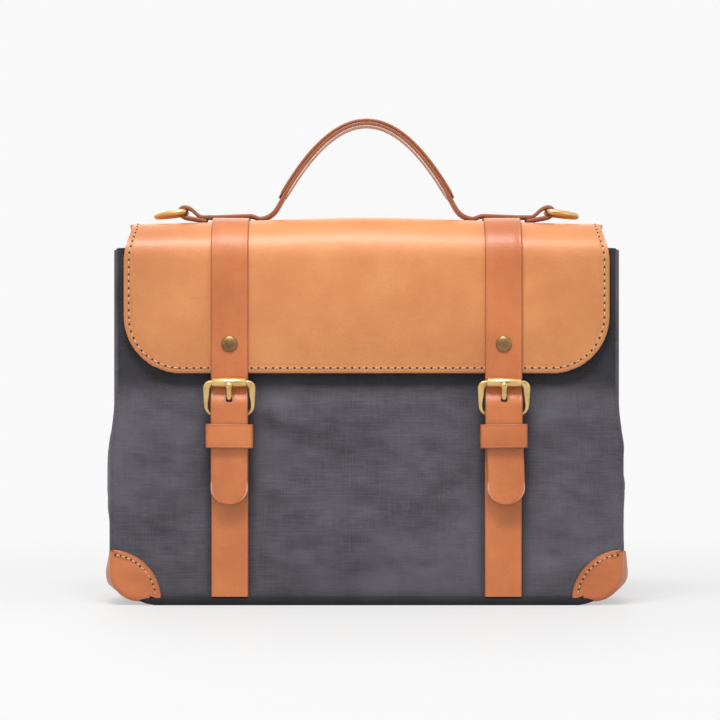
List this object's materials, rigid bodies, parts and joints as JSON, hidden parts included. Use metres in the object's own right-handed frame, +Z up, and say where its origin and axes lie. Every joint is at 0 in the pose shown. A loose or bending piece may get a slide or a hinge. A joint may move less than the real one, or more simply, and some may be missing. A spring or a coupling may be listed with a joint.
{
  "type": "messenger bag",
  "caption": "Canvas messenger bag with a leather front flap on two buckled straps, an arched carrying handle, strap rings, leather corners and a sleeve inside.",
  "frame": {"origin": "on the surface the bag stands on, under the middle of its overall width and depth", "axes": "+X across the bag to the right as its front is faced, -Y out of the front, +Z up"},
  "size_m": [0.3612, 0.1094, 0.336],
  "materials": {
    "canvas": "waxed canvas, matt with a faint sheen",
    "base_canvas": "waxed canvas, matt",
    "lining_cloth": "cotton twill, matt",
    "binding_tape": "woven tape, matt",
    "board": "matt",
    "flap_leather": "vegetable tanned, satin",
    "strap_leather": "vegetable tanned, satin",
    "handle_leather": "vegetable tanned, satin",
    "pad_leather": "vegetable tanned, satin",
    "brass": "brushed",
    "rivet_brass": "antique",
    "snap_steel": "satin"
  },
  "bodies": {
    "bag": {"front_panel": "canvas", "back_panel": "canvas", "gusset": "canvas", "base_panel": "base_canvas", "lining": "lining_cloth", "base_board": "board", "inner_divider": "lining_cloth", "mouth_binding": "binding_tape", "corner_patch_front_left": "flap_leather", "corner_patch_front_right": "flap_leather", "corner_patch_back_left": "flap_leather", "corner_patch_back_right": "flap_leather", "lower_strap_left": "strap_leather", "lower_strap_right": "strap_leather", "back_strap_left": "strap_leather", "back_strap_right": "strap_leather", "snap_socket_left": "snap_steel", "snap_socket_right": "snap_steel", "flap_anchor": "flap_leather"},
    "flap": {"flap_leather": "flap_leather", "flap_lining": "lining_cloth", "flap_strap_left": "strap_leather", "rivet_left": "rivet_brass", "rivet_back_left": "rivet_brass", "chape_left": "strap_leather", "snap_stud_left": "snap_steel", "buckle_frame_left": "brass", "handle_foot_left": "handle_leather", "flap_strap_right": "strap_leather", "rivet_right": "rivet_brass", "rivet_back_right": "rivet_brass", "chape_right": "strap_leather", "snap_stud_right": "snap_steel", "buckle_frame_right": "brass", "handle_foot_right": "handle_leather"},
    "handle": {"handle_arch": "handle_leather", "handle_pad": "pad_leather"},
    "ring_left": {"ring_left": "brass"},
    "roller_left": {"buckle_roller_left": "brass"},
    "prong_left": {"buckle_prong_left": "brass"},
    "keeper_left": {"keeper_left": "strap_leather"},
    "ring_right": {"ring_right": "brass"},
    "roller_right": {"buckle_roller_right": "brass"},
    "prong_right": {"buckle_prong_right": "brass"},
    "keeper_right": {"keeper_right": "strap_leather"}
  },
  "joints": [
    {"name": "flap_hinge", "type": "hinge", "parent": "bag", "child": "flap", "pos_m": [0, 0.05116, 0.2649], "axis": [-1, 0, 0], "range_deg": [0, 180]},
    {"name": "handle_lean", "type": "hinge", "parent": "flap", "child": "handle", "pos_m": [0, 0.00706, 0.278], "axis": [1, 0, 0], "range_deg": [-40, 40], "stiffness_Nm_per_rad": 0.2},
    {"name": "ring_swing_left", "type": "hinge", "parent": "flap", "child": "ring_left", "pos_m": [-0.1266, 0.00706, 0.271], "axis": [0, 1, 0], "range_deg": [0, 110]},
    {"name": "roller_spin_left", "type": "hinge", "parent": "flap", "child": "roller_left", "pos_m": [-0.0936, -0.04784, 0.15265], "axis": [1, 0, 0], "continuous": true},
    {"name": "prong_swing_left", "type": "hinge", "parent": "flap", "child": "prong_left", "pos_m": [-0.0936, -0.04304, 0.13085], "axis": [1, 0, 0], "range_deg": [0, 8]},
    {"name": "keeper_slide_left", "type": "slide", "parent": "flap", "child": "keeper_left", "axis": [0, 0, 1], "range_m": [-0.014, 0]},
    {"name": "ring_swing_right", "type": "hinge", "parent": "flap", "child": "ring_right", "pos_m": [0.1266, 0.00706, 0.271], "axis": [0, -1, 0], "range_deg": [0, 110]},
    {"name": "roller_spin_right", "type": "hinge", "parent": "flap", "child": "roller_right", "pos_m": [0.0936, -0.04784, 0.15265], "axis": [1, 0, 0], "continuous": true},
    {"name": "prong_swing_right", "type": "hinge", "parent": "flap", "child": "prong_right", "pos_m": [0.0936, -0.04304, 0.13085], "axis": [1, 0, 0], "range_deg": [0, 8]},
    {"name": "keeper_slide_right", "type": "slide", "parent": "flap", "child": "keeper_right", "axis": [0, 0, 1], "range_m": [-0.014, 0]}
  ]
}
